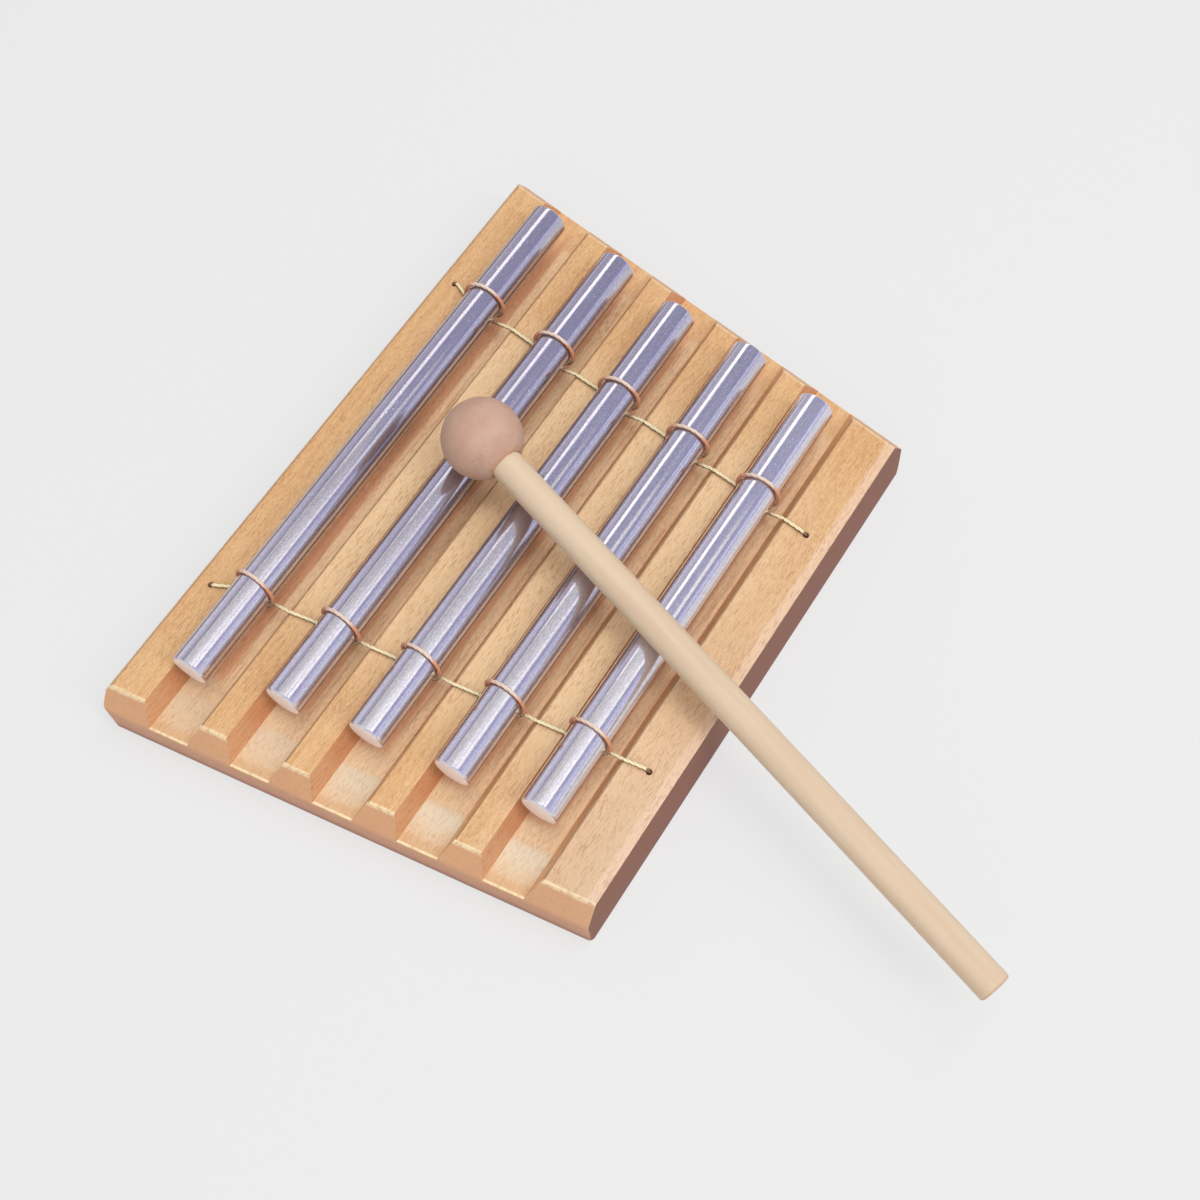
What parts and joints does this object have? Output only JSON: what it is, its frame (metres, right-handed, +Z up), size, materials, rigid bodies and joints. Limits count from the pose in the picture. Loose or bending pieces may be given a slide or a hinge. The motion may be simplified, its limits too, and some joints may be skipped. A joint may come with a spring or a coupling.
{
  "type": "meditation chime",
  "caption": "Tabletop meditation chime: tuned metal rods slung on cords over a grooved, tapered wooden board, played with a ball-headed wooden mallet.",
  "frame": {"origin": "middle of the board's underside", "axes": "+X across the rods from the longest to the shortest, +Y along the rods to the back, +Z up out of the board"},
  "size_m": [0.2576, 0.2228, 0.056],
  "materials": {
    "board_wood": "oiled beech, satin, with short dark flecks along the grain",
    "rod_metal": "drawn round bar, lightly polished, sawn ends",
    "sling_cord": "fine twisted cord, straw to tan",
    "handle_wood": "pale birch dowel, smooth sanded",
    "head_wood": "turned beech ball, matte, small dark pores"
  },
  "bodies": {
    "base": {"base_board": "board_wood", "front_cord": "sling_cord", "back_cord": "sling_cord"},
    "rod_1": {"chime_rod_1": "rod_metal"},
    "rod_2": {"chime_rod_2": "rod_metal"},
    "rod_3": {"chime_rod_3": "rod_metal"},
    "rod_4": {"chime_rod_4": "rod_metal"},
    "rod_5": {"chime_rod_5": "rod_metal"},
    "mallet": {"mallet_handle": "handle_wood", "mallet_head": "head_wood"}
  },
  "joints": [
    {"name": "rod_1_bounce", "type": "slide", "parent": "base", "child": "rod_1", "axis": [0, 0, 1], "range_m": [-0.002, 0], "stiffness_N_per_m": 600, "springref_m": 0.002, "deforming": ["front_cord", "back_cord"]},
    {"name": "rod_2_bounce", "type": "slide", "parent": "base", "child": "rod_2", "axis": [0, 0, 1], "range_m": [-0.002, 0], "stiffness_N_per_m": 600, "springref_m": 0.002, "deforming": ["front_cord", "back_cord"]},
    {"name": "rod_3_bounce", "type": "slide", "parent": "base", "child": "rod_3", "axis": [0, 0, 1], "range_m": [-0.002, 0], "stiffness_N_per_m": 600, "springref_m": 0.002, "deforming": ["front_cord", "back_cord"]},
    {"name": "rod_4_bounce", "type": "slide", "parent": "base", "child": "rod_4", "axis": [0, 0, 1], "range_m": [-0.002, 0], "stiffness_N_per_m": 600, "springref_m": 0.002, "deforming": ["front_cord", "back_cord"]},
    {"name": "rod_5_bounce", "type": "slide", "parent": "base", "child": "rod_5", "axis": [0, 0, 1], "range_m": [-0.002, 0], "stiffness_N_per_m": 600, "springref_m": 0.002, "deforming": ["front_cord", "back_cord"]},
    {"name": "mallet_lift", "type": "slide", "parent": "base", "child": "mallet", "axis": [0, 0, 1], "range_m": [0, 0.12]}
  ]
}
